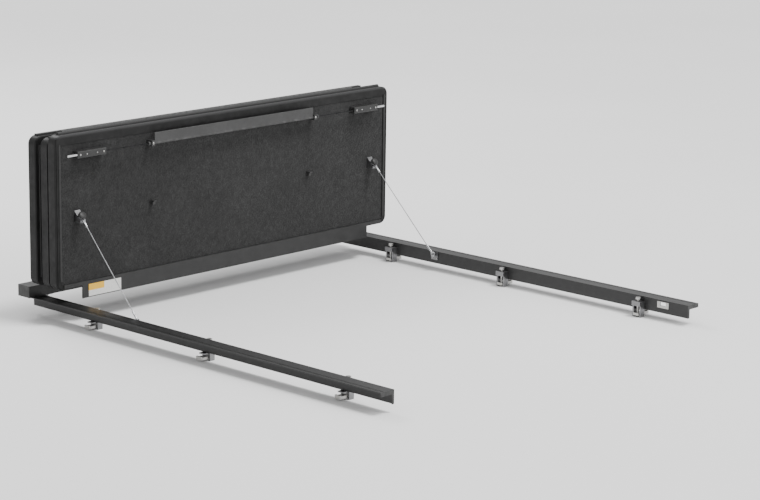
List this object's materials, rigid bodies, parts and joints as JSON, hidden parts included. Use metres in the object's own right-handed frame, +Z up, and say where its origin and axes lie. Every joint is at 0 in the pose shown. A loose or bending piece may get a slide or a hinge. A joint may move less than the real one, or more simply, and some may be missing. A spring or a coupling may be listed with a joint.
{
  "type": "folding tonneau cover",
  "caption": "Hard panel truck bed cover, folded upright at the cab on its side rails, with carpeted underside, latch bolts, a release bar, wire stays and rail clamps.",
  "frame": {"origin": "centre of the bounding box's base, level with the feet of the rail clamps, under the middle of the rail frame", "axes": "+X to the passenger side, +Y to the cab, +Z up"},
  "size_m": [1.606, 1.684, 0.652],
  "materials": {
    "panel_skin": "satin",
    "rim_black": "satin",
    "foam_core": "matte",
    "carpet": "matte",
    "seal_rubber": "matte",
    "rail_black": "satin",
    "hinge_black": "satin",
    "steel": "satin",
    "zinc_steel": "satin",
    "grey_bracket": "satin",
    "bar_grey": "satin",
    "black_plastic": "satin",
    "wire_rope": "satin",
    "label_blank": "satin"
  },
  "bodies": {
    "frame": {"rail_left": "rail_black", "rail_right": "rail_black", "front_header": "rail_black", "header_seal": "seal_rubber", "end_caps": "black_plastic", "striker_plates": "zinc_steel", "corner_brackets": "grey_bracket", "corner_bolts": "zinc_steel", "clamp_frames": "grey_bracket", "rail_anchors": "grey_bracket", "front_hinge_header_leaf": "hinge_black", "front_hinge_pin": "steel"},
    "front_panel": {"front_panel_skin": "panel_skin", "front_panel_rim": "rim_black", "front_panel_core": "foam_core", "front_panel_liner": "carpet", "front_panel_side_seals": "seal_rubber", "front_panel_gasket": "seal_rubber", "front_hinge_panel_leaf": "hinge_black", "middle_hinge_front_leaf": "hinge_black", "middle_hinge_pin": "steel"},
    "middle_panel": {"middle_panel_skin": "panel_skin", "middle_panel_rim": "rim_black", "middle_panel_core": "foam_core", "middle_panel_liner": "carpet", "middle_panel_side_seals": "seal_rubber", "middle_panel_gasket": "seal_rubber", "middle_hinge_middle_leaf": "hinge_black", "rear_hinge_middle_leaf": "hinge_black", "rear_hinge_pin": "steel"},
    "rear_panel": {"rear_panel_skin": "panel_skin", "rear_panel_rim": "rim_black", "rear_panel_core": "foam_core", "rear_panel_liner": "carpet", "rear_panel_side_seals": "seal_rubber", "rear_panel_tail_seal": "seal_rubber", "rear_panel_skirt": "seal_rubber", "blank_label": "label_blank", "rear_hinge_rear_leaf": "hinge_black", "latch_housings": "black_plastic", "release_bar_brackets": "black_plastic", "stay_brackets": "grey_bracket", "stay_knobs": "black_plastic", "stow_clips": "black_plastic"},
    "release_bar": {"release_bar": "bar_grey"},
    "latch_bolt_left": {"latch_bolt_left": "steel"},
    "latch_bolt_right": {"latch_bolt_right": "steel"},
    "stay_left": {"stay_left_top_eye": "wire_rope", "stay_left_cable": "wire_rope", "stay_left_hook_eye": "wire_rope"},
    "stay_right": {"stay_right_top_eye": "wire_rope", "stay_right_cable": "wire_rope", "stay_right_hook_eye": "wire_rope"},
    "clamp_jaw_left_1": {"clamp_jaw_left_1": "zinc_steel"},
    "clamp_jaw_left_2": {"clamp_jaw_left_2": "zinc_steel"},
    "clamp_jaw_left_3": {"clamp_jaw_left_3": "zinc_steel"},
    "clamp_jaw_right_1": {"clamp_jaw_right_1": "zinc_steel"},
    "clamp_jaw_right_2": {"clamp_jaw_right_2": "zinc_steel"},
    "clamp_jaw_right_3": {"clamp_jaw_right_3": "zinc_steel"}
  },
  "joints": [
    {"name": "front_fold", "type": "hinge", "parent": "frame", "child": "front_panel", "pos_m": [0, 0.767, 0.115], "axis": [1, 0, 0], "range_deg": [0, 90]},
    {"name": "middle_fold", "type": "hinge", "parent": "front_panel", "child": "middle_panel", "pos_m": [0, 0.716, 0.636], "axis": [1, 0, 0], "range_deg": [-180, 0]},
    {"name": "rear_fold", "type": "hinge", "parent": "middle_panel", "child": "rear_panel", "pos_m": [0, 0.665, 0.115], "axis": [1, 0, 0], "range_deg": [0, 180]},
    {"name": "release_bar_turn", "type": "hinge", "parent": "rear_panel", "child": "release_bar", "pos_m": [0, 0.6085, 0.576], "axis": [1, 0, 0], "range_deg": [0, 40], "stiffness_Nm_per_rad": 1},
    {"name": "latch_slide_left", "type": "slide", "parent": "rear_panel", "child": "latch_bolt_left", "axis": [1, 0, 0], "range_m": [0, 0.038]},
    {"name": "stay_swing_left", "type": "hinge", "parent": "rear_panel", "child": "stay_left", "pos_m": [-0.71, 0.607, 0.366], "axis": [0, -0.7165, 0.6976], "range_deg": [0, 91.67]},
    {"name": "latch_slide_right", "type": "slide", "parent": "rear_panel", "child": "latch_bolt_right", "axis": [-1, 0, 0], "range_m": [0, 0.038]},
    {"name": "stay_swing_right", "type": "hinge", "parent": "rear_panel", "child": "stay_right", "pos_m": [0.71, 0.607, 0.366], "axis": [0, 0.7165, -0.6976], "range_deg": [0, 91.67]},
    {"name": "clamp_slide_left_1", "type": "slide", "parent": "frame", "child": "clamp_jaw_left_1", "axis": [0, 0, 1], "range_m": [-0.005, 0.007]},
    {"name": "clamp_slide_left_2", "type": "slide", "parent": "frame", "child": "clamp_jaw_left_2", "axis": [0, 0, 1], "range_m": [-0.005, 0.007]},
    {"name": "clamp_slide_left_3", "type": "slide", "parent": "frame", "child": "clamp_jaw_left_3", "axis": [0, 0, 1], "range_m": [-0.005, 0.007]},
    {"name": "clamp_slide_right_1", "type": "slide", "parent": "frame", "child": "clamp_jaw_right_1", "axis": [0, 0, 1], "range_m": [-0.005, 0.007]},
    {"name": "clamp_slide_right_2", "type": "slide", "parent": "frame", "child": "clamp_jaw_right_2", "axis": [0, 0, 1], "range_m": [-0.005, 0.007]},
    {"name": "clamp_slide_right_3", "type": "slide", "parent": "frame", "child": "clamp_jaw_right_3", "axis": [0, 0, 1], "range_m": [-0.005, 0.007]}
  ],
  "couplings": [
    {"joint": "middle_fold", "follows": "front_fold", "ratio": -2},
    {"joint": "rear_fold", "follows": "front_fold", "ratio": 2},
    {"joint": "latch_slide_left", "follows": "release_bar_turn", "m_per_rad": 0.0544},
    {"joint": "stay_swing_left", "follows": "front_fold", "ratio": 1.018},
    {"joint": "latch_slide_right", "follows": "release_bar_turn", "m_per_rad": 0.0544},
    {"joint": "stay_swing_right", "follows": "front_fold", "ratio": 1.018}
  ]
}
